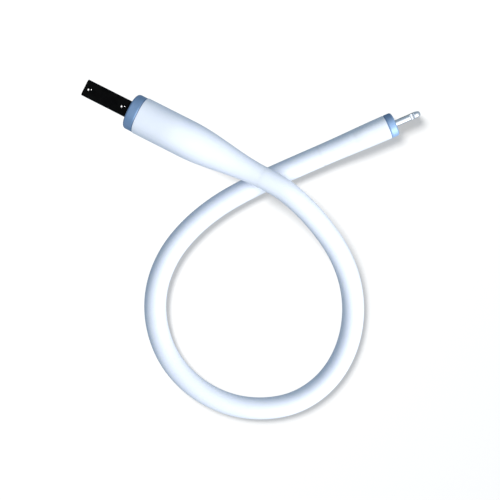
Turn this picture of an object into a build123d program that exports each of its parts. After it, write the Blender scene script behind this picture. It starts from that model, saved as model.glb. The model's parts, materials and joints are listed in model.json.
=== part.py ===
from build123d import *
from math import copysign, cos, degrees, pi, radians, sin, tan
import os

# A short charging lead that keeps the shape it is bent to.  A black flat plug for a computer
# or a charger is at one end and a thin phone plug at the other.  The thick white silicone
# cable between them lies in one teardrop loop, and its plug strand crosses over the other.
#
# Millimetres, +Z up.  The lead lies on Z = 0 and both plugs stand on their narrow sides.
# The origin is on that surface, below the middle of the two plug ends.
#
# Each end is drawn in its own frame: X runs out along the plug to its tip, Y is the plug's
# width, Z its thickness, and X = 0 is the collar's front face, which stops at the socket.

# ---- cable ----
CABLE_RADIUS = 2.9
BRAID_OUTER = 2.05
BRAID_INNER = 1.9
ARMATURE_RADIUS = 0.7
WIRE_RADIUS = 0.5
COPPER_RADIUS = 0.25
WIRE_OFFSET = 1.28

# Route of the cable's centre, from the small end of the computer plug's boot to that of the
# phone plug's boot.  The first three points carry the upper strand over the crossing.
ROUTE = [
    (2.4, -11.5, 9.95),
    (6.7, -13.7, 10.3),
    (10.7, -16.7, 10.1),
    (16.4, -22.2, 8.8),
    (22.5, -30.3, 6.5),
    (26.1, -39.1, 4.2),
    (26.9, -48.6, 3.0),
    (24.6, -58.0, 2.9),
    (19.5, -65.7, 2.9),
    (12.0, -70.9, 2.9),
    (3.1, -72.7, 2.9),
    (-6.2, -71.6, 2.9),
    (-15.1, -67.2, 2.9),
    (-22.1, -59.8, 2.9),
    (-25.7, -50.4, 2.9),
    (-25.8, -40.8, 2.9),
    (-22.4, -31.8, 2.9),
    (-16.5, -24.5, 2.9),
    (-8.9, -18.4, 2.9),
    (0.1, -13.5, 2.9),
    (9.0, -9.5, 3.55),
    (18.0, -5.6, 3.75),
]
ARC_SHARE = 0.45  # of the shorter run that a corner's arc may take

# ---- computer plug ----
SHELL_SIZE = (12.0, 4.5)
SHELL_WALL = 0.3
SHELL_CORNER = 0.8
SHELL_REACH = 12.8
SHELL_TAIL = 7.0
LATCH_WINDOW = (2.0, 2.3)
LATCH_SETBACK = 5.8
LATCH_SPREAD = 5.0
DIMPLE_RADIUS = 0.7
DIMPLE_DEPTH = 0.25
DIMPLE_SETBACKS = (1.7, 11.4)
TONGUE_THICKNESS = 1.95
TONGUE_SETBACK = 0.4
CONTACT_WIDTH = 1.0
CONTACT_THICKNESS = 0.25
CONTACT_TAIL = 10.0
POWER_SETBACK = 1.6
DATA_SETBACK = 2.6
USB_CAN = (12.6, 5.1)
USB_CAN_FRONT = 6.0
USB_CAN_BACK = 11.5
USB_CAN_WALL = 0.3
USB_CRIMP_RADIUS = 2.5
USB_CRIMP_LENGTH = 5.5
USB_MOULD = (13.1, 6.0)
USB_MOULD_CORNER = 2.0
USB_MOULD_NECK = 3.2
USB_MOULD_BLOCK_BACK = 12.5
USB_COLLAR = (14.2, 9.7)
USB_COLLAR_LENGTH = 2.8
USB_BOOT = (14.2, 10.0)
USB_BOOT_LENGTH = 35.3
USB_BOOT_STARTS = (0.2, 0.38)
USB_ROLL = -2.5

# ---- phone plug ----
FRAME_SIZE = (6.7, 1.5)
FRAME_REACH = 7.0
FRAME_TAIL = 4.0
FRAME_NOSE_RADIUS = 1.2
FRAME_EDGE_RADIUS = 0.6
DETENT_SETBACK = 2.35
DETENT_RADIUS = 0.7
DETENT_DEPTH = 0.45
WINDOW_FROM, WINDOW_TO = 1.7, 5.7
WINDOW_WIDTH = 5.4
WINDOW_CORNER = 0.6
PAD_COUNT = 8
PAD_SIZE = (2.3, 0.42, 0.2)
PAD_PITCH = 0.64
BOARD_THICKNESS = 0.8
BOARD_WIDTH = 5.6
BOARD_NOSE_WIDTH = 4.6
BOARD_BACK = 11.0
CHARGE_CHIP = (3.2, 3.0, 0.75)
GUARD_CHIP = (1.8, 1.8, 0.6)
CHIPS_MIDDLE = 6.5
CAPACITOR = (0.5, 0.4, 0.35)
CAPACITOR_COUNT = 4
CAPACITOR_PITCH = 1.2
CAPACITORS_MIDDLE = 9.15
TIP_CAN = (6.5, 3.4)
TIP_CAN_FRONT = 4.0
TIP_CAN_BACK = 11.3
TIP_CAN_WALL = 0.25
TIP_CRIMP_RADIUS = 2.4
TIP_CRIMP_LENGTH = 3.2
TIP_MOULD = (7.1, 4.0)
TIP_MOULD_CORNER = 1.0
TIP_COLLAR = (8.1, 6.4)
TIP_COLLAR_LENGTH = 2.2
TIP_BOOT = (8.0, 6.4)
TIP_BOOT_LENGTH = 19.0
TIP_BOOT_STARTS = (0.3, 0)
TIP_ROLL = 4.5

# ---- shared ----
COLLAR_EDGE = 0.5
COLLAR_EDGE_STEPS = 5
COLLAR_SQUARENESS = 2.5  # exponent of the oval's outline: 2 is an ellipse
OVAL_POINTS = 24
BOOT_SHARES = (0, 0.15, 0.3, 0.42, 0.54, 0.66, 0.78, 0.89, 0.96, 1)  # of its length
SOLDER_GAP = 0.02
LEAD_OVERLAP = 1.0  # how far a bare lead reaches along a solder tail or the board
BOARD_LEAD_PITCH = 1.3

USB_END = USB_COLLAR_LENGTH + USB_BOOT_LENGTH
TIP_END = TIP_COLLAR_LENGTH + TIP_BOOT_LENGTH


# ---- drawing helpers ----
def oval(size, squareness):
    """Face in a section plane: a rounded oval, size[0] by size[1]."""
    points = []
    for step in range(OVAL_POINTS):
        angle = 2 * pi * step / OVAL_POINTS
        across = copysign(abs(cos(angle)) ** (2 / squareness), cos(angle))
        up = copysign(abs(sin(angle)) ** (2 / squareness), sin(angle))
        points.append((size[0] / 2 * across, size[1] / 2 * up))
    return make_face(Spline(*points, periodic=True))


def section(x):
    """Plane across an end at x, with the plug's width and thickness as its axes."""
    return Plane(origin=(x, 0, 0), x_dir=(0, 1, 0), z_dir=(1, 0, 0))


def bar(x_from, x_to, outline):
    """Solid of one outline along an end, from x_from to x_to."""
    return extrude(section(x_from) * outline, x_to - x_from)


def rounded_bar(x_from, x_to, size, corner):
    return bar(x_from, x_to, RectangleRounded(size[0], size[1], corner))


def round_bar(x_from, x_to, radius):
    return bar(x_from, x_to, Circle(radius))


def ring_bar(x_from, x_to, outer, inner):
    return round_bar(x_from, x_to, outer) - round_bar(x_from, x_to, inner)


def block(x_from, x_to, y_from, y_to, z_from, z_to):
    """Plain block between two corners of an end's frame."""
    centre = ((x_from + x_to) / 2, (y_from + y_to) / 2, (z_from + z_to) / 2)
    return Pos(*centre) * Box(x_to - x_from, y_to - y_from, z_to - z_from)


def ease(value):
    """Smooth step from 0 to 1, level at both ends."""
    value = min(max(value, 0), 1)
    return value * value * (3 - 2 * value)


def boot_loft(x_front, length, size, starts):
    """Boot that eases from an oval down to the cable, ending tangent to it.

    starts holds the shares of the length after which the boot begins to narrow, first
    across the plug's width, then across its thickness.
    """
    sections = []
    for share in BOOT_SHARES:
        tall = 1 - ease((share - starts[0]) / (1 - starts[0]))
        wide = 1 - ease((share - starts[1]) / (1 - starts[1]))
        outline = oval(
            (
                2 * CABLE_RADIUS + (size[0] - 2 * CABLE_RADIUS) * tall,
                2 * CABLE_RADIUS + (size[1] - 2 * CABLE_RADIUS) * wide,
            ),
            2 + (COLLAR_SQUARENESS - 2) * tall,
        )
        sections.append(section(x_front - share * length) * outline)
    return loft(sections)


def collar(length, size, hole):
    """Coloured ring behind the plug, with rounded outer edges and flat end faces."""
    sections = []
    for x_edge, inwards in ((0, -1), (-length, 1)):
        for step in range(COLLAR_EDGE_STEPS + 1):
            angle = pi / 2 * step / COLLAR_EDGE_STEPS
            x = x_edge + inwards * COLLAR_EDGE * (1 - cos(angle))
            inset = 2 * COLLAR_EDGE * (1 - sin(angle))
            outline = oval((size[0] - inset, size[1] - inset), COLLAR_SQUARENESS)
            sections.append((x, section(x) * outline))
    sections.sort(key=lambda pair: pair[0])
    return loft([outline for _, outline in sections], ruled=True) - hole


def shield_halves(front, back, size, wall, corner, opening):
    """The two pressed halves of the can round the solder joints."""
    can = rounded_bar(-back, -front, size, corner)
    inside = (size[0] - 2 * wall, size[1] - 2 * wall)
    can -= rounded_bar(-back + opening, -front, inside, corner - wall)
    upper = can & block(-back, -front, -size[0], size[0], 0, size[1])
    lower = can & block(-back, -front, -size[0], size[0], -size[1], 0)
    return upper, lower


# ---- computer plug ----
def usb_shell():
    """Folded metal shell with latch windows and a pair of dimples on each narrow side."""
    shell = rounded_bar(-SHELL_TAIL, SHELL_REACH, SHELL_SIZE, SHELL_CORNER)
    inside = (SHELL_SIZE[0] - 2 * SHELL_WALL, SHELL_SIZE[1] - 2 * SHELL_WALL)
    shell -= rounded_bar(-SHELL_TAIL, SHELL_REACH, inside, SHELL_CORNER - SHELL_WALL)
    for side in (-1, 1):
        y = side * LATCH_SPREAD / 2
        window = Box(LATCH_WINDOW[0], LATCH_WINDOW[1], 2 * SHELL_SIZE[1])
        shell -= Pos(SHELL_REACH - LATCH_SETBACK, y, 0) * window
    ball = (DIMPLE_RADIUS**2 + DIMPLE_DEPTH**2) / (2 * DIMPLE_DEPTH)
    for setback in DIMPLE_SETBACKS:
        for side in (-1, 1):
            y = side * (SHELL_SIZE[0] / 2 + ball - DIMPLE_DEPTH)
            shell -= Pos(SHELL_REACH - setback, y, 0) * Sphere(ball)
    return shell


CONTACTS = {
    "usb_contact_power": (3.5, POWER_SETBACK),
    "usb_contact_data_minus": (1.0, DATA_SETBACK),
    "usb_contact_data_plus": (-1.0, DATA_SETBACK),
    "usb_contact_ground": (-3.5, POWER_SETBACK),
}


def usb_contact(y, setback):
    """Flat spring strip, let into the tongue, with a solder tail behind the insulator."""
    half = CONTACT_WIDTH / 2
    front = SHELL_REACH - setback
    return block(-CONTACT_TAIL, front, y - half, y + half, -CONTACT_THICKNESS, 0)


def usb_insulator():
    """Plastic block that fills the shell's tail and carries the tongue."""
    inside = (SHELL_SIZE[0] - 2 * SHELL_WALL, SHELL_SIZE[1] - 2 * SHELL_WALL)
    corner = SHELL_CORNER - SHELL_WALL
    body = rounded_bar(-SHELL_TAIL, SHELL_REACH - TONGUE_SETBACK, inside, corner)
    body -= block(0, SHELL_REACH, -inside[0], inside[0], 0, inside[1])
    body -= block(0, SHELL_REACH, -inside[0], inside[0], -inside[1], -TONGUE_THICKNESS)
    for y, setback in CONTACTS.values():
        body -= usb_contact(y, setback)
    return body


def usb_cavity():
    """Space inside the boot: the inner mould's outline and the cable's core."""
    space = rounded_bar(-USB_MOULD_BLOCK_BACK, -USB_COLLAR_LENGTH, USB_MOULD, USB_MOULD_CORNER)
    space += round_bar(-USB_CAN_BACK - USB_CRIMP_LENGTH, -USB_COLLAR_LENGTH, USB_MOULD_NECK)
    return space


def usb_inner_mould():
    """Hard plastic moulded round the shell's tail, the can and the crimp."""
    mould = usb_cavity()
    mould -= rounded_bar(-USB_CAN_BACK, -USB_CAN_FRONT, USB_CAN, SHELL_CORNER + SHELL_WALL)
    mould -= rounded_bar(-USB_CAN_FRONT, 0, SHELL_SIZE, SHELL_CORNER)
    mould -= round_bar(-USB_CAN_BACK - USB_CRIMP_LENGTH, -USB_CAN_BACK, USB_CRIMP_RADIUS)
    return mould


def usb_shield():
    """Can halves that grip the shell's tail, with a hole behind for the cable's core."""
    halves = shield_halves(
        USB_CAN_FRONT, USB_CAN_BACK, USB_CAN, USB_CAN_WALL, SHELL_CORNER + SHELL_WALL, USB_CAN_WALL
    )
    hole = round_bar(-USB_CAN_BACK, -USB_CAN_FRONT, BRAID_OUTER)
    return [half - hole for half in halves]


def usb_boot():
    boot = boot_loft(-USB_COLLAR_LENGTH, USB_BOOT_LENGTH, USB_BOOT, USB_BOOT_STARTS)
    boot -= usb_cavity()
    boot -= round_bar(-USB_END, -USB_COLLAR_LENGTH, BRAID_OUTER)
    return boot


# ---- phone plug ----
def tip_frame():
    """Steel ring frame: rounded nose and edges, a notch in each narrow side."""
    width, thickness = FRAME_SIZE
    plan = Pos((FRAME_REACH - FRAME_TAIL) / 2, 0) * Rectangle(FRAME_REACH + FRAME_TAIL, width)
    nose = plan.vertices().group_by(Axis.X)[-1]
    plan = fillet(nose, FRAME_NOSE_RADIUS)
    frame = extrude(Plane.XY.offset(-thickness / 2) * plan, thickness)
    faces = frame.faces().filter_by(Axis.Z)
    rims = [edge for face in faces for edge in face.edges() if edge.center().X > -FRAME_TAIL]
    frame = fillet(rims, FRAME_EDGE_RADIUS)
    for side in (-1, 1):
        y = side * (width / 2 + DETENT_RADIUS - DETENT_DEPTH)
        notch = Cylinder(DETENT_RADIUS, 2 * thickness)
        frame -= Pos(FRAME_REACH - DETENT_SETBACK, y, 0) * notch
    frame -= window_plug()
    half = BOARD_NOSE_WIDTH / 2
    frame -= block(-FRAME_TAIL, WINDOW_FROM, -half, half, -BOARD_THICKNESS / 2, BOARD_THICKNESS / 2)
    return frame


def window_plug():
    """Block with rounded corners that fills the frame's window."""
    outline = RectangleRounded(WINDOW_TO - WINDOW_FROM, WINDOW_WIDTH, WINDOW_CORNER)
    plan = Plane.XY.offset(-FRAME_SIZE[1] / 2) * Pos((WINDOW_FROM + WINDOW_TO) / 2, 0) * outline
    return extrude(plan, FRAME_SIZE[1])


def tip_pads(side):
    """Row of gold pads let flush into one face of the insulator."""
    length, width, depth = PAD_SIZE
    middle = (WINDOW_FROM + WINDOW_TO) / 2
    z = side * (FRAME_SIZE[1] / 2 - depth / 2)
    row = GridLocations(0, PAD_PITCH, 1, PAD_COUNT)
    level = Plane.XY.offset(z - depth / 2)
    return [extrude(level * Pos(middle, 0) * place * SlotOverall(length, width), depth) for place in row]


def tip_insulator():
    body = window_plug()
    for pad in tip_pads(1) + tip_pads(-1):
        body -= pad
    return body


def tip_board():
    """Circuit board with a narrow nose that enters the frame."""
    half = BOARD_THICKNESS / 2
    wide = BOARD_WIDTH / 2
    narrow = BOARD_NOSE_WIDTH / 2
    body = block(-BOARD_BACK, -FRAME_TAIL, -wide, wide, -half, half)
    return body + block(-FRAME_TAIL, WINDOW_FROM, -narrow, narrow, -half, half)


def on_board(x, y, size, side):
    """Block of size that lies on one face of the board, side 1 for the upper one."""
    z = side * (BOARD_THICKNESS + size[2]) / 2
    return Pos(x, y, z) * Box(*size)


def tip_charge_chip():
    return on_board(-CHIPS_MIDDLE, 0, CHARGE_CHIP, 1)


def tip_guard_chip():
    return on_board(-CHIPS_MIDDLE, 0, GUARD_CHIP, -1)


def tip_capacitors():
    """Row of four small capacitors behind the charge chip."""
    places = GridLocations(0, CAPACITOR_PITCH, 1, CAPACITOR_COUNT).locations
    return [on_board(-CAPACITORS_MIDDLE, place.position.Y, CAPACITOR, 1) for place in places]


def tip_cavity():
    space = rounded_bar(-TIP_CAN_BACK, -TIP_COLLAR_LENGTH, TIP_MOULD, TIP_MOULD_CORNER)
    return space + round_bar(-TIP_CAN_BACK - TIP_CRIMP_LENGTH, -TIP_CAN_BACK, TIP_CRIMP_RADIUS)


def tip_inner_mould():
    mould = rounded_bar(-TIP_CAN_BACK, -TIP_COLLAR_LENGTH, TIP_MOULD, TIP_MOULD_CORNER)
    mould -= rounded_bar(-TIP_CAN_BACK, -TIP_CAN_FRONT, TIP_CAN, 2 * TIP_CAN_WALL)
    return mould - frame_sleeve()


def frame_sleeve():
    """Outline of the phone plug's frame, for the holes that it passes through."""
    width, thickness = FRAME_SIZE
    return rounded_bar(-FRAME_TAIL, FRAME_REACH, (width, thickness), FRAME_EDGE_RADIUS)


def tip_boot():
    boot = boot_loft(-TIP_COLLAR_LENGTH, TIP_BOOT_LENGTH, TIP_BOOT, TIP_BOOT_STARTS)
    boot -= tip_cavity()
    return boot - round_bar(-TIP_END, -TIP_COLLAR_LENGTH, BRAID_OUTER)


# ---- places of the two ends ----
def end_plane(last, inner, end_length, roll):
    """Frame of an end whose boot carries on the line from inner to last."""
    out = (Vector(*last) - Vector(*inner)).normalized()
    side = out.cross(Vector(0, 0, 1)).normalized().rotate(Axis((0, 0, 0), out), roll)
    return Plane(origin=Vector(*last) + out * end_length, x_dir=out, z_dir=side)


USB_PLANE = end_plane(ROUTE[0], ROUTE[1], USB_END, USB_ROLL)
TIP_PLANE = end_plane(ROUTE[-1], ROUTE[-2], TIP_END, TIP_ROLL)


# ---- cable ----
def corner_radii():
    """Largest arc that each corner's runs leave room for."""
    radii = []
    for before, corner, after in zip(ROUTE, ROUTE[1:], ROUTE[2:]):
        back = Vector(*corner) - Vector(*before)
        ahead = Vector(*after) - Vector(*corner)
        turn = radians(back.get_angle(ahead))
        radii.append(ARC_SHARE * min(back.length, ahead.length) / tan(turn / 2))
    return radii


RADII = corner_radii()


def cable_path(start, finish):
    """Centre line of the cable with its ends moved to start and finish."""
    return Wire(FilletPolyline(start, *ROUTE[1:-1], finish, radius=RADII).edges())


def cable_section(start):
    """Plane across the cable's first run, its X along the computer plug's width."""
    return Plane(origin=start, x_dir=USB_PLANE.y_dir, z_dir=-USB_PLANE.x_dir)


def along(path, start, outline):
    return sweep(cable_section(start) * outline, path=path)


def at_radius(angle):
    return Pos(WIRE_OFFSET * cos(radians(angle)), WIRE_OFFSET * sin(radians(angle)))


JACKET_START = Vector(*ROUTE[0])
CORE_START = USB_PLANE.from_local_coords(Vector(-USB_CAN_BACK, 0, 0))
CORE_FINISH = TIP_PLANE.from_local_coords(Vector(-TIP_CAN_BACK, 0, 0))
JACKET_PATH = cable_path(ROUTE[0], ROUTE[-1])
CORE_PATH = cable_path(CORE_START, CORE_FINISH)

# Angle of each wire in the core, as seen from the computer plug, and the contact it feeds.
WIRES = {
    "red": (-45, "usb_contact_power"),
    "white": (45, "usb_contact_data_minus"),
    "black": (135, "usb_contact_ground"),
    "green": (-135, "usb_contact_data_plus"),
}


def wire_copper(angle):
    return along(CORE_PATH, CORE_START, at_radius(angle) * Circle(COPPER_RADIUS))


def wire_insulation(angle):
    ring = at_radius(angle) * (Circle(WIRE_RADIUS) - Circle(COPPER_RADIUS))
    return along(CORE_PATH, CORE_START, ring)


def straight_lead(start, finish):
    """Bare end of a wire between two points of an end's frame."""
    line = Vector(*finish) - Vector(*start)
    return extrude(Plane(origin=start, z_dir=line) * Circle(COPPER_RADIUS), line.length)


def beside(surface, side):
    """Height of a lead that lies on a surface, above it or below."""
    return surface + side * (COPPER_RADIUS + SOLDER_GAP)


def usb_leads():
    """Stripped wire ends from the core to the contacts' solder tails."""
    leads = []
    for angle, contact in WIRES.values():
        y = WIRE_OFFSET * cos(radians(angle))
        z = -WIRE_OFFSET * sin(radians(angle))
        side = copysign(1, z)
        surface = 0 if side > 0 else -CONTACT_THICKNESS
        finish = (-CONTACT_TAIL + LEAD_OVERLAP, CONTACTS[contact][0], beside(surface, side))
        leads.append(straight_lead((-USB_CAN_BACK, y, z), finish))
    return leads


def tip_leads(coppers):
    """Stripped wire ends from the core to the board's solder pads."""
    ends = []
    for copper in coppers:
        face = min(copper.faces(), key=lambda each: (each.center() - CORE_FINISH).length)
        ends.append(TIP_PLANE.to_local_coords(face.center()))
    ends.sort(key=lambda end: end.Y)
    leads = []
    for spot, end in enumerate(ends):
        y = (spot - (len(ends) - 1) / 2) * BOARD_LEAD_PITCH
        side = copysign(1, end.Z)
        finish = (-BOARD_BACK + LEAD_OVERLAP, y, beside(side * BOARD_THICKNESS / 2, side))
        leads.append(straight_lead(end, finish))
    return leads


# ---- parts ----
def save(name, shapes, plane=None):
    """Write one node, moved from an end's frame to its place."""
    solids = shapes if isinstance(shapes, list) else [shapes]
    if plane is not None:
        solids = [plane.location * solid for solid in solids]
    whole = solids[0] if len(solids) == 1 else Compound(children=solids)
    export_step(whole, f"parts/{name}.step")


def main():
    os.makedirs("parts", exist_ok=True)

    save("usb_shell", usb_shell(), USB_PLANE)
    save("usb_insulator", usb_insulator(), USB_PLANE)
    for name, (y, setback) in CONTACTS.items():
        save(name, usb_contact(y, setback), USB_PLANE)
    upper, lower = usb_shield()
    save("usb_shield_upper", upper, USB_PLANE)
    save("usb_shield_lower", lower, USB_PLANE)
    crimp_back = -USB_CAN_BACK - USB_CRIMP_LENGTH
    save("usb_crimp", ring_bar(crimp_back, -USB_CAN_BACK, USB_CRIMP_RADIUS, BRAID_OUTER), USB_PLANE)
    save("usb_inner_mould", usb_inner_mould(), USB_PLANE)
    hole = rounded_bar(-USB_COLLAR_LENGTH, 0, SHELL_SIZE, SHELL_CORNER)
    save("usb_collar", collar(USB_COLLAR_LENGTH, USB_COLLAR, hole), USB_PLANE)
    save("usb_boot", usb_boot(), USB_PLANE)
    save("usb_leads", usb_leads(), USB_PLANE)

    save("tip_frame", tip_frame(), TIP_PLANE)
    save("tip_insulator", tip_insulator(), TIP_PLANE)
    save("tip_pads_left", tip_pads(1), TIP_PLANE)
    save("tip_pads_right", tip_pads(-1), TIP_PLANE)
    save("tip_board", tip_board(), TIP_PLANE)
    save("tip_charge_chip", tip_charge_chip(), TIP_PLANE)
    save("tip_guard_chip", tip_guard_chip(), TIP_PLANE)
    save("tip_capacitors", tip_capacitors(), TIP_PLANE)
    left, right = shield_halves(
        TIP_CAN_FRONT, TIP_CAN_BACK, TIP_CAN, TIP_CAN_WALL, 2 * TIP_CAN_WALL, 0
    )
    save("tip_shield_left", left, TIP_PLANE)
    save("tip_shield_right", right, TIP_PLANE)
    crimp_back = -TIP_CAN_BACK - TIP_CRIMP_LENGTH
    save("tip_crimp", ring_bar(crimp_back, -TIP_CAN_BACK, TIP_CRIMP_RADIUS, BRAID_OUTER), TIP_PLANE)
    save("tip_inner_mould", tip_inner_mould(), TIP_PLANE)
    save("tip_collar", collar(TIP_COLLAR_LENGTH, TIP_COLLAR, frame_sleeve()), TIP_PLANE)
    save("tip_boot", tip_boot(), TIP_PLANE)

    jacket = Circle(CABLE_RADIUS) - Circle(BRAID_OUTER)
    tube = along(JACKET_PATH, JACKET_START, jacket)
    save("cable_jacket", tube)
    braid = Circle(BRAID_OUTER) - Circle(BRAID_INNER)
    save("cable_braid", along(CORE_PATH, CORE_START, braid))
    save("armature_wire", along(CORE_PATH, CORE_START, Circle(ARMATURE_RADIUS)))
    coppers = []
    for colour, (angle, _) in WIRES.items():
        coppers.append(wire_copper(angle))
        save(f"wire_{colour}_copper", coppers[-1])
        save(f"wire_{colour}_insulation", wire_insulation(angle))
    save("tip_leads", tip_leads(coppers), TIP_PLANE)

    turns = [f"{radius:.0f}" for radius in RADII]
    print("arc radii, mm:", ", ".join(turns))
    print(f"jacket: {tube.volume:.0f} mm3, section times length {jacket.area * JACKET_PATH.length:.0f}")
    print(f"cable length, boot to boot: {JACKET_PATH.length:.1f} mm")
    print(f"plug strand's rise, degrees: {degrees(USB_PLANE.x_dir.Z):.2f}")


main()
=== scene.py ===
import json
import math

import bmesh
import bpy
from mathutils import Matrix, Vector


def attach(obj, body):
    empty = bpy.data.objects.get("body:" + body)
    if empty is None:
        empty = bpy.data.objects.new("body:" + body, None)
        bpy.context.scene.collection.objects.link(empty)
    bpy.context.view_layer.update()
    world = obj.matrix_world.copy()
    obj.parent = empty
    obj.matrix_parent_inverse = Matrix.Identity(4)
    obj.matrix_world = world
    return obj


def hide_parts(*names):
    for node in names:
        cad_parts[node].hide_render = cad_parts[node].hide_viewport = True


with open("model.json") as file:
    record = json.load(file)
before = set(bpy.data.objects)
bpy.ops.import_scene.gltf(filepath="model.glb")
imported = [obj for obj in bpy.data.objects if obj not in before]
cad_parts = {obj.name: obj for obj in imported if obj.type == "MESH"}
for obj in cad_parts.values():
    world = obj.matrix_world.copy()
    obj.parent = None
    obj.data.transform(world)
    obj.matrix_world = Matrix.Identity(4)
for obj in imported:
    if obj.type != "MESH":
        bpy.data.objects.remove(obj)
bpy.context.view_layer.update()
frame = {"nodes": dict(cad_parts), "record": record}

# The lead's looks, in metres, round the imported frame: white silicone cable and boots,
# blue-grey collars, a black computer plug and a steel phone plug.

MM = 0.001

# ---- sizes, as in the CAD model ----
CABLE_RADIUS = 2.9 * MM
CORE_RADIUS = 2.05 * MM
ROUTE = [
    (0.0024, -0.0115, 0.00995),
    (0.0067, -0.0137, 0.0103),
    (0.0107, -0.0167, 0.0101),
    (0.0164, -0.0222, 0.0088),
    (0.0225, -0.0303, 0.0065),
    (0.0261, -0.0391, 0.0042),
    (0.0269, -0.0486, 0.0030),
    (0.0246, -0.0580, 0.0029),
    (0.0195, -0.0657, 0.0029),
    (0.0120, -0.0709, 0.0029),
    (0.0031, -0.0727, 0.0029),
    (-0.0062, -0.0716, 0.0029),
    (-0.0151, -0.0672, 0.0029),
    (-0.0221, -0.0598, 0.0029),
    (-0.0257, -0.0504, 0.0029),
    (-0.0258, -0.0408, 0.0029),
    (-0.0224, -0.0318, 0.0029),
    (-0.0165, -0.0245, 0.0029),
    (-0.0089, -0.0184, 0.0029),
    (0.0001, -0.0135, 0.0029),
    (0.0090, -0.0095, 0.00355),
    (0.0180, -0.0056, 0.00375),
]

USB_COLLAR = (14.2 * MM, 9.7 * MM)
USB_COLLAR_LENGTH = 2.8 * MM
USB_BOOT = (14.2 * MM, 10.0 * MM)
USB_BOOT_LENGTH = 35.3 * MM
USB_SHELL = (12.0 * MM, 4.5 * MM)
USB_SHELL_CORNER = 0.8 * MM
USB_BOOT_STARTS = (0.2, 0.38)
USB_MOULD = (13.1 * MM, 6.0 * MM)
USB_MOULD_CORNER = 2.0 * MM
USB_MOULD_NECK = 3.2 * MM
USB_MOULD_BLOCK_BACK = 12.5 * MM
USB_CRIMP_BACK = 17.0 * MM
USB_ROLL = math.radians(-2.5)

TIP_COLLAR = (8.1 * MM, 6.4 * MM)
TIP_COLLAR_LENGTH = 2.2 * MM
TIP_BOOT = (8.0 * MM, 6.4 * MM)
TIP_BOOT_LENGTH = 19.0 * MM
TIP_BOOT_STARTS = (0.3, 0)
TIP_MOULD = (7.1 * MM, 4.0 * MM)
TIP_MOULD_CORNER = 1.0 * MM
TIP_CAN_BACK = 11.3 * MM
TIP_CRIMP_RADIUS = 2.4 * MM
TIP_CRIMP_BACK = 14.5 * MM
TIP_FRAME = (6.7 * MM, 1.5 * MM)
TIP_FRAME_CORNER = 0.6 * MM
TIP_ROLL = math.radians(4.5)

COLLAR_EDGE = 0.5 * MM
SQUARENESS = 2.5

RING_POINTS = 96
BOOT_STATIONS = 72
COLLAR_EDGE_STEPS = 8
SHARP_ANGLE = 40  # degrees between faces past which an edge stays crisp


# ---- materials ----
def new_material(name):
    """Empty material, with its node tree and its shader."""
    material = bpy.data.materials.new(name)
    material.use_nodes = True
    tree = material.node_tree
    shader = tree.nodes["Principled BSDF"]
    return material, tree, shader


def object_noise(tree, scale, detail=3.0, roughness=0.5):
    """Noise laid out in the piece's own coordinates, scale in features per metre."""
    place = tree.nodes.new("ShaderNodeTexCoord")
    noise = tree.nodes.new("ShaderNodeTexNoise")
    noise.inputs["Scale"].default_value = scale
    noise.inputs["Detail"].default_value = detail
    noise.inputs["Roughness"].default_value = roughness
    tree.links.new(place.outputs["Object"], noise.inputs["Vector"])
    return noise


def vary_roughness(tree, shader, noise, low, high):
    """Roughness that drifts between low and high."""
    spread = tree.nodes.new("ShaderNodeMapRange")
    spread.inputs["To Min"].default_value = low
    spread.inputs["To Max"].default_value = high
    tree.links.new(noise.outputs["Fac"], spread.inputs["Value"])
    tree.links.new(spread.outputs["Result"], shader.inputs["Roughness"])


def vary_colour(tree, shader, noise, first, second, low=0.35, high=0.65):
    """Colour that drifts from first to second as the noise goes from low to high."""
    ramp = tree.nodes.new("ShaderNodeValToRGB")
    ramp.color_ramp.elements[0].position = low
    ramp.color_ramp.elements[0].color = (*first, 1)
    ramp.color_ramp.elements[1].position = high
    ramp.color_ramp.elements[1].color = (*second, 1)
    tree.links.new(noise.outputs["Fac"], ramp.inputs["Fac"])
    tree.links.new(ramp.outputs["Color"], shader.inputs["Base Color"])


def add_bump(tree, shader, noise, depth, strength=1.0):
    """Fine surface grain, depth in metres."""
    bump = tree.nodes.new("ShaderNodeBump")
    bump.inputs["Strength"].default_value = strength
    bump.inputs["Distance"].default_value = depth
    tree.links.new(noise.outputs["Fac"], bump.inputs["Height"])
    tree.links.new(bump.outputs["Normal"], shader.inputs["Normal"])


def silicone():
    """Soft white rubber that lets a little light in."""
    material, tree, shader = new_material("white_silicone")
    vary_colour(tree, shader, object_noise(tree, 60), (0.80, 0.825, 0.91), (0.84, 0.86, 0.93))
    vary_roughness(tree, shader, object_noise(tree, 400), 0.42, 0.52)
    add_bump(tree, shader, object_noise(tree, 9000, 2.0), 0.00001, 0.4)
    shader.inputs["Subsurface Weight"].default_value = 0.25
    shader.inputs["Subsurface Radius"].default_value = (0.0012, 0.0012, 0.0014)
    shader.inputs["Subsurface Scale"].default_value = 1.0
    shader.inputs["Sheen Weight"].default_value = 0.08
    shader.inputs["IOR"].default_value = 1.41
    return material


def moulded(name, first, second, rough, grain=7000, depth=0.00001):
    """Plain moulded plastic with a fine grain."""
    material, tree, shader = new_material(name)
    vary_colour(tree, shader, object_noise(tree, 300), first, second)
    vary_roughness(tree, shader, object_noise(tree, 900), rough - 0.05, rough + 0.05)
    add_bump(tree, shader, object_noise(tree, grain, 2.0), depth, 0.5)
    return material


def metal(name, first, second, rough, grain=2500, depth=0.000004):
    """Bare or plated metal with faint rubbing marks."""
    material, tree, shader = new_material(name)
    vary_colour(tree, shader, object_noise(tree, 700), first, second)
    vary_roughness(tree, shader, object_noise(tree, 1800, 4.0), rough - 0.05, rough + 0.08)
    add_bump(tree, shader, object_noise(tree, grain, 2.0), depth, 0.4)
    shader.inputs["Metallic"].default_value = 1.0
    return material


def painted(name, first, second, rough):
    """Moulded plastic with a slight metallic sheen, so a side turned from the light goes dark."""
    material = moulded(name, first, second, rough)
    material.node_tree.nodes["Principled BSDF"].inputs["Metallic"].default_value = 0.4
    return material


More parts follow.
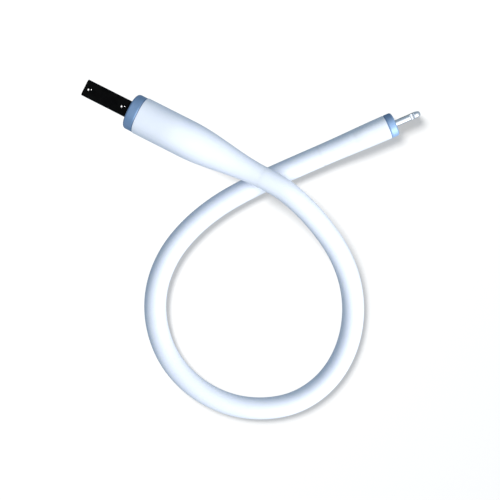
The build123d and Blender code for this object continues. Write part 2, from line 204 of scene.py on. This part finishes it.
def black_shell():
    """Deep black finish that reflects very little."""
    material, tree, shader = new_material("shell_black")
    darkest = (0.00003, 0.00003, 0.00003)
    dark = (0.00006, 0.00006, 0.00006)
    vary_colour(tree, shader, object_noise(tree, 500), darkest, dark)
    vary_roughness(tree, shader, object_noise(tree, 1500, 4.0), 0.06, 0.09)
    add_bump(tree, shader, object_noise(tree, 3000, 2.0), 0.000002, 0.3)
    shader.inputs["Specular IOR Level"].default_value = 0.04
    return material


MATERIALS = {
    "white_silicone": silicone(),
    "collar_blue_grey": painted("collar_blue_grey", (0.18, 0.29, 0.46), (0.23, 0.34, 0.52), 0.55),
    "shell_black": black_shell(),
    "contact_gold": metal("contact_gold", (0.78, 0.55, 0.20), (0.86, 0.64, 0.28), 0.22),
    "insulator_black": moulded("insulator_black", (0.012, 0.012, 0.013), (0.02, 0.02, 0.022), 0.5),
    "steel": metal("steel", (0.76, 0.77, 0.80), (0.83, 0.84, 0.86), 0.44),
    "can_steel": metal("can_steel", (0.45, 0.46, 0.47), (0.55, 0.56, 0.57), 0.35),
    "mould_plastic": moulded("mould_plastic", (0.70, 0.69, 0.64), (0.76, 0.75, 0.70), 0.5),
    "copper": metal("copper", (0.70, 0.33, 0.18), (0.80, 0.40, 0.24), 0.3),
    "braid_tinned": metal(
        "braid_tinned", (0.45, 0.45, 0.46), (0.65, 0.65, 0.66), 0.4, grain=9000, depth=0.00005
    ),
    "wire_red": moulded("wire_red", (0.50, 0.02, 0.015), (0.60, 0.03, 0.02), 0.35),
    "wire_white": moulded("wire_white", (0.78, 0.78, 0.76), (0.84, 0.84, 0.82), 0.35),
    "wire_black": moulded("wire_black", (0.015, 0.015, 0.015), (0.025, 0.025, 0.025), 0.35),
    "wire_green": moulded("wire_green", (0.02, 0.30, 0.07), (0.03, 0.38, 0.10), 0.35),
    "board_green": moulded("board_green", (0.015, 0.14, 0.06), (0.02, 0.18, 0.08), 0.35),
    "chip_black": moulded("chip_black", (0.015, 0.015, 0.016), (0.03, 0.03, 0.032), 0.55),
    "ceramic_tan": moulded("ceramic_tan", (0.40, 0.28, 0.17), (0.50, 0.36, 0.23), 0.5),
}
NODE_SLOTS = {sub["node"]: sub["material_slot"] for sub in frame["record"]["subparts"]}


def dress(obj, slot):
    obj.data.materials.clear()
    obj.data.materials.append(MATERIALS[slot])


# ---- places of the two ends ----
def end_matrix(last, inner, end_length, roll):
    """Frame of an end: X out along the plug, Y its width, Z its thickness.

    Its origin is the middle of the collar's front face.
    """
    out = (Vector(last) - Vector(inner)).normalized()
    side = out.cross(Vector((0, 0, 1))).normalized()
    side = Matrix.Rotation(roll, 3, out) @ side
    up = side.cross(out)
    matrix = Matrix((out, up, side)).transposed().to_4x4()
    matrix.translation = Vector(last) + out * end_length
    return matrix


USB_FRAME = end_matrix(ROUTE[0], ROUTE[1], USB_COLLAR_LENGTH + USB_BOOT_LENGTH, USB_ROLL)
TIP_FRAME_AT = end_matrix(ROUTE[-1], ROUTE[-2], TIP_COLLAR_LENGTH + TIP_BOOT_LENGTH, TIP_ROLL)


# ---- ring meshes ----
def oval(size, squareness):
    """Points round a rounded oval in the section plane, width first."""
    points = []
    for step in range(RING_POINTS):
        angle = 2 * math.pi * step / RING_POINTS
        across = math.copysign(abs(math.cos(angle)) ** (2 / squareness), math.cos(angle))
        up = math.copysign(abs(math.sin(angle)) ** (2 / squareness), math.sin(angle))
        points.append((size[0] / 2 * across, size[1] / 2 * up))
    return points


def rounded_rectangle(size, corner):
    """Points round a rectangle with round corners, as many as an oval has."""
    points = []
    for quarter, (sx, sy) in enumerate(((1, 1), (-1, 1), (-1, -1), (1, -1))):
        count = RING_POINTS // 4
        for step in range(count):
            angle = math.pi / 2 * (quarter + (step + 0.5) / count)
            x = sx * (size[0] / 2 - corner) + corner * math.cos(angle)
            y = sy * (size[1] / 2 - corner) + corner * math.sin(angle)
            points.append((x, y))
    return points


def ring_mesh(name, rings, place, closed_loop):
    """Smooth mesh through rings of points, each ring a pair: x along the end, and its outline.

    closed_loop joins the last ring to the first, for a tube with a wall; otherwise both ends
    are capped.
    """
    bm = bmesh.new()
    rows = []
    for x, outline in rings:
        rows.append([bm.verts.new(place @ Vector((x, y, z))) for y, z in outline])
    pairs = list(zip(rows, rows[1:]))
    if closed_loop:
        pairs.append((rows[-1], rows[0]))
    for first, second in pairs:
        for here in range(RING_POINTS):
            there = (here + 1) % RING_POINTS
            bm.faces.new((first[here], first[there], second[there], second[here]))
    if not closed_loop:
        bm.faces.new(rows[0])
        bm.faces.new(rows[-1])
    bmesh.ops.recalc_face_normals(bm, faces=bm.faces)
    mesh = bpy.data.meshes.new(name)
    bm.to_mesh(mesh)
    bm.free()
    mesh.polygons.foreach_set("use_smooth", [True] * len(mesh.polygons))
    obj = bpy.data.objects.new(name, mesh)
    bpy.context.scene.collection.objects.link(obj)
    return obj


def ease(value):
    """Smooth step from 0 to 1, level at both ends."""
    value = min(max(value, 0), 1)
    return value * value * (3 - 2 * value)


def sharpen(obj, angle):
    """Keep edges crisp where faces meet at more than angle, in degrees."""
    mesh = obj.data
    bm = bmesh.new()
    bm.from_mesh(mesh)
    for edge in bm.edges:
        edge.smooth = len(edge.link_faces) == 2 and edge.calc_face_angle() < math.radians(angle)
    bm.to_mesh(mesh)
    bm.free()


def boot(name, place, front, length, size, starts, inside):
    """Silicone boot from the collar down to the cable, with a hollow for the inner mould.

    starts holds the shares of the length after which the boot begins to narrow, first
    across the plug's width, then across its thickness.
    """
    rings = []
    for step in range(BOOT_STATIONS + 1):
        share = step / BOOT_STATIONS
        tall = 1 - ease((share - starts[0]) / (1 - starts[0]))
        wide = 1 - ease((share - starts[1]) / (1 - starts[1]))
        outline = oval(
            (
                2 * CABLE_RADIUS + (size[0] - 2 * CABLE_RADIUS) * tall,
                2 * CABLE_RADIUS + (size[1] - 2 * CABLE_RADIUS) * wide,
            ),
            2 + (SQUARENESS - 2) * tall,
        )
        rings.append((front - share * length, outline))
    rings.extend(inside)
    obj = ring_mesh(name, rings, place, True)
    sharpen(obj, SHARP_ANGLE)
    return obj


def collar(name, place, length, size, hole):
    """Coloured ring with rounded outer edges and a hole for the plug."""
    rings = []
    for step in range(COLLAR_EDGE_STEPS + 1):
        angle = math.pi / 2 * step / COLLAR_EDGE_STEPS
        inset = 2 * COLLAR_EDGE * (1 - math.sin(angle))
        x = -COLLAR_EDGE * (1 - math.cos(angle))
        rings.append((x, oval((size[0] - inset, size[1] - inset), SQUARENESS)))
    for step in range(COLLAR_EDGE_STEPS, -1, -1):
        angle = math.pi / 2 * step / COLLAR_EDGE_STEPS
        inset = 2 * COLLAR_EDGE * (1 - math.sin(angle))
        x = -length + COLLAR_EDGE * (1 - math.cos(angle))
        rings.append((x, oval((size[0] - inset, size[1] - inset), SQUARENESS)))
    rings.append((-length, hole))
    rings.append((0, hole))
    obj = ring_mesh(name, rings, place, True)
    sharpen(obj, SHARP_ANGLE)
    return obj


# ---- cable ----
def cable():
    """Cable as a round curve along the route, from one boot's small end to the other's."""
    curve = bpy.data.curves.new("silicone_cable", "CURVE")
    curve.dimensions = "3D"
    curve.resolution_u = 16
    curve.bevel_depth = CABLE_RADIUS
    curve.bevel_resolution = 14
    curve.use_fill_caps = True
    spline = curve.splines.new("NURBS")
    spline.points.add(len(ROUTE) - 1)
    for point, place in zip(spline.points, ROUTE):
        point.co = (*place, 1)
    spline.order_u = 3
    spline.use_endpoint_u = True
    spline.use_smooth = True
    obj = bpy.data.objects.new("silicone_cable", curve)
    bpy.context.scene.collection.objects.link(obj)
    dress(obj, "white_silicone")
    return obj


# ---- build ----
def round_hole(radius):
    """Ring of points round a hole for the cable's core or the inner mould's neck."""
    return oval((2 * radius, 2 * radius), 2)


def finish_piece(obj, slot, *nodes):
    """Dress a piece and let it stand for the CAD nodes that it replaces."""
    dress(obj, slot)
    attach(obj, "root")
    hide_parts(*nodes)


for name, node in frame["nodes"].items():
    dress(node, NODE_SLOTS[name])

USB_BOOT_END = -USB_COLLAR_LENGTH - USB_BOOT_LENGTH
usb_boot = boot(
    "computer_plug_boot", USB_FRAME, -USB_COLLAR_LENGTH, USB_BOOT_LENGTH, USB_BOOT, USB_BOOT_STARTS,
    [
        (USB_BOOT_END, round_hole(CORE_RADIUS)),
        (-USB_CRIMP_BACK, round_hole(CORE_RADIUS)),
        (-USB_CRIMP_BACK, round_hole(USB_MOULD_NECK)),
        (-USB_MOULD_BLOCK_BACK, round_hole(USB_MOULD_NECK)),
        (-USB_MOULD_BLOCK_BACK, rounded_rectangle(USB_MOULD, USB_MOULD_CORNER)),
        (-USB_COLLAR_LENGTH, rounded_rectangle(USB_MOULD, USB_MOULD_CORNER)),
    ],
)
finish_piece(usb_boot, "white_silicone", "usb_boot")

TIP_BOOT_END = -TIP_COLLAR_LENGTH - TIP_BOOT_LENGTH
tip_boot = boot(
    "phone_plug_boot", TIP_FRAME_AT, -TIP_COLLAR_LENGTH, TIP_BOOT_LENGTH, TIP_BOOT, TIP_BOOT_STARTS,
    [
        (TIP_BOOT_END, round_hole(CORE_RADIUS)),
        (-TIP_CRIMP_BACK, round_hole(CORE_RADIUS)),
        (-TIP_CRIMP_BACK, round_hole(TIP_CRIMP_RADIUS)),
        (-TIP_CAN_BACK, round_hole(TIP_CRIMP_RADIUS)),
        (-TIP_CAN_BACK, rounded_rectangle(TIP_MOULD, TIP_MOULD_CORNER)),
        (-TIP_COLLAR_LENGTH, rounded_rectangle(TIP_MOULD, TIP_MOULD_CORNER)),
    ],
)
finish_piece(tip_boot, "white_silicone", "tip_boot")

usb_collar = collar(
    "computer_plug_collar", USB_FRAME, USB_COLLAR_LENGTH, USB_COLLAR,
    rounded_rectangle(USB_SHELL, USB_SHELL_CORNER),
)
finish_piece(usb_collar, "collar_blue_grey", "usb_collar")

tip_collar = collar(
    "phone_plug_collar", TIP_FRAME_AT, TIP_COLLAR_LENGTH, TIP_COLLAR,
    rounded_rectangle(TIP_FRAME, TIP_FRAME_CORNER),
)
finish_piece(tip_collar, "collar_blue_grey", "tip_collar")

lead = cable()
finish_piece(lead, "white_silicone", "cable_jacket")

# ---- floor, lights, camera ----
# The floor glows a little, as a light table does, and one lamp high on the left lays a short
# soft shadow on it. The lead's own lamps miss the floor: a key light from the other side, one
# low lamp for the phone plug's collar, and two for the glints in the black shell's dimples.
FLOOR_SIDE = 6.0
FLOOR_GLOW = 0.42
FLOOR_WHITE = 0.25

floor_mesh = bpy.data.meshes.new("floor")
reach = FLOOR_SIDE / 2
floor_mesh.from_pydata(
    [(-reach, -reach, 0), (reach, -reach, 0), (reach, reach, 0), (-reach, reach, 0)], [], [(0, 1, 2, 3)]
)
floor = bpy.data.objects.new("floor", floor_mesh)
bpy.context.scene.collection.objects.link(floor)
floor_material, _, floor_shader = new_material("pale_floor")
floor_shader.inputs["Base Color"].default_value = (FLOOR_WHITE, FLOOR_WHITE, FLOOR_WHITE, 1)
floor_shader.inputs["Roughness"].default_value = 1.0
floor_shader.inputs["Specular IOR Level"].default_value = 0.0
floor_shader.inputs["Emission Color"].default_value = (1, 1, 1, 1)
floor_shader.inputs["Emission Strength"].default_value = FLOOR_GLOW
floor_mesh.materials.append(floor_material)
floor.visible_diffuse = False
floor.visible_glossy = False


def lit_group(name, objects, state):
    """Collection for a lamp: it lights only these objects, or all but them."""
    group = bpy.data.collections.new(name)
    for obj in objects:
        group.objects.link(obj)
    for member in group.collection_objects:
        member.light_linking.link_state = state
    return group


shell = frame["nodes"]["usb_shell"]
floor_only = lit_group("floor_only", [floor], "INCLUDE")
shell_only = lit_group("shell_only", [shell], "INCLUDE")
tip_collar_only = lit_group("tip_collar_only", [tip_collar], "INCLUDE")
all_but_shell = lit_group("all_but_shell", [floor, shell], "EXCLUDE")

LOOP_MIDDLE = Vector((0, -0.031, 0))
LAMP_DISTANCE = 1.0
WHITE = (1, 1, 1)
WARM_WHITE = (1, 0.985, 0.965)


def soft_light(name, azimuth, elevation, size, strength, colour, lit):
    """Square lamp aimed at the loop, its angles in degrees and its side in metres.

    strength is the brightness that a white surface facing the lamp would show.
    """
    light = bpy.data.lights.new(name, "AREA")
    light.size = size
    light.energy = strength * math.pi * math.pi * LAMP_DISTANCE * LAMP_DISTANCE
    light.color = colour
    obj = bpy.data.objects.new(name, light)
    level = math.cos(math.radians(elevation))
    out = Vector(
        (
            level * math.cos(math.radians(azimuth)),
            level * math.sin(math.radians(azimuth)),
            math.sin(math.radians(elevation)),
        )
    )
    obj.location = LOOP_MIDDLE + out * LAMP_DISTANCE
    obj.rotation_euler = (-out).to_track_quat("-Z", "Y").to_euler()
    obj.light_linking.receiver_collection = lit
    bpy.context.scene.collection.objects.link(obj)
    return obj


floor_lamp = soft_light("floor_lamp", 135, 67, 0.32, 2.42, WARM_WHITE, floor_only)
soft_light("key", -35, 46, 0.7, 1.36, WHITE, all_but_shell)
soft_light("collar_side", -60, 20, 1.0, 1.7, WHITE, tip_collar_only)
soft_light("glint_right", 0, 46, 0.75, 70, WHITE, shell_only)
soft_light("glint_left", 180, 46, 0.35, 24, WHITE, shell_only)

# The computer plug's end is left out of the floor lamp's shadow.
computer_end = [node for name, node in frame["nodes"].items() if name.startswith("usb_")]
shade_makers = lit_group("shade_makers", computer_end + [usb_collar, usb_boot], "EXCLUDE")
floor_lamp.light_linking.blocker_collection = shade_makers

world = bpy.data.worlds.new("studio")
world.use_nodes = True
surroundings = world.node_tree.nodes["Background"]
surroundings.inputs["Color"].default_value = (0.65, 0.83, 1.0, 1)
surroundings.inputs["Strength"].default_value = 0.46
bpy.context.scene.world = world

CAMERA_PLACE = (-0.00066, -0.03044, 0.360)
SENSOR = 36.0
SEEN_WIDTH = 0.13235  # width of the view at the height of the cable's centre on the floor
camera = bpy.data.cameras.new("camera")
camera.sensor_width = SENSOR
camera.lens = SENSOR * (CAMERA_PLACE[2] - CABLE_RADIUS) / SEEN_WIDTH
camera.clip_start = 0.01
camera.clip_end = 10
camera_object = bpy.data.objects.new("camera", camera)
camera_object.location = CAMERA_PLACE
bpy.context.scene.collection.objects.link(camera_object)
bpy.context.scene.camera = camera_object

bpy.context.scene.view_settings.view_transform = "Standard"
